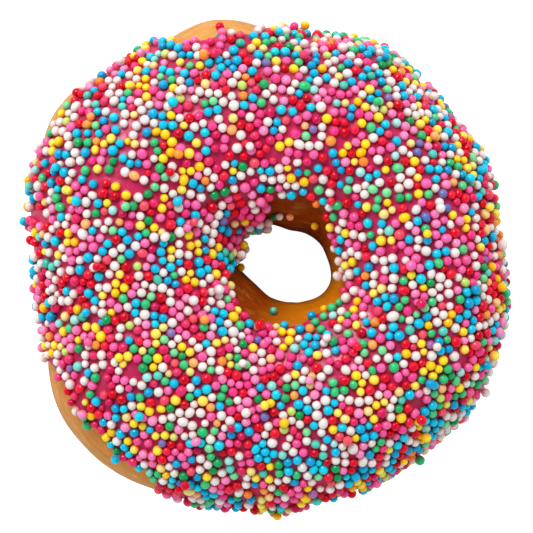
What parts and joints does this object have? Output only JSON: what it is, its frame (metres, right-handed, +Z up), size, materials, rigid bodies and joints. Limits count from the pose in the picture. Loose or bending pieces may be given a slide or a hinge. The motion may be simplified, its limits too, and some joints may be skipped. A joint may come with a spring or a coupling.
{
  "type": "sprinkle frosted doughnut",
  "caption": "Ring doughnut of fried dough with pink icing over its crown, covered in tiny round sugar sprinkles of many colours.",
  "frame": {"origin": "under the middle of the doughnut's box, at the level that it rests on", "axes": "+Z up out of the iced crown; +Y towards the side shown at the top when the doughnut is seen from above; +X to the right"},
  "size_m": [0.085, 0.0884, 0.0307],
  "materials": {
    "fried_dough": "fried crust, golden brown, with a paler band round the middle",
    "pink_icing": "smooth set sugar icing, soft gloss",
    "white_sprinkle": "sugar shell dyed through, soft gloss",
    "pink_sprinkle": "sugar shell dyed through, soft gloss",
    "rose_sprinkle": "sugar shell dyed through, soft gloss",
    "red_sprinkle": "sugar shell dyed through, soft gloss",
    "blue_sprinkle": "sugar shell dyed through, soft gloss",
    "green_sprinkle": "sugar shell dyed through, soft gloss",
    "yellow_sprinkle": "sugar shell dyed through, soft gloss",
    "orange_sprinkle": "sugar shell dyed through, soft gloss",
    "aqua_sprinkle": "sugar shell dyed through, soft gloss",
    "cream_sprinkle": "sugar shell dyed through, soft gloss",
    "violet_sprinkle": "sugar shell dyed through, soft gloss"
  },
  "bodies": {
    "root": {"dough_ring": "fried_dough", "pink_icing": "pink_icing"}
  },
  "joints": []
}
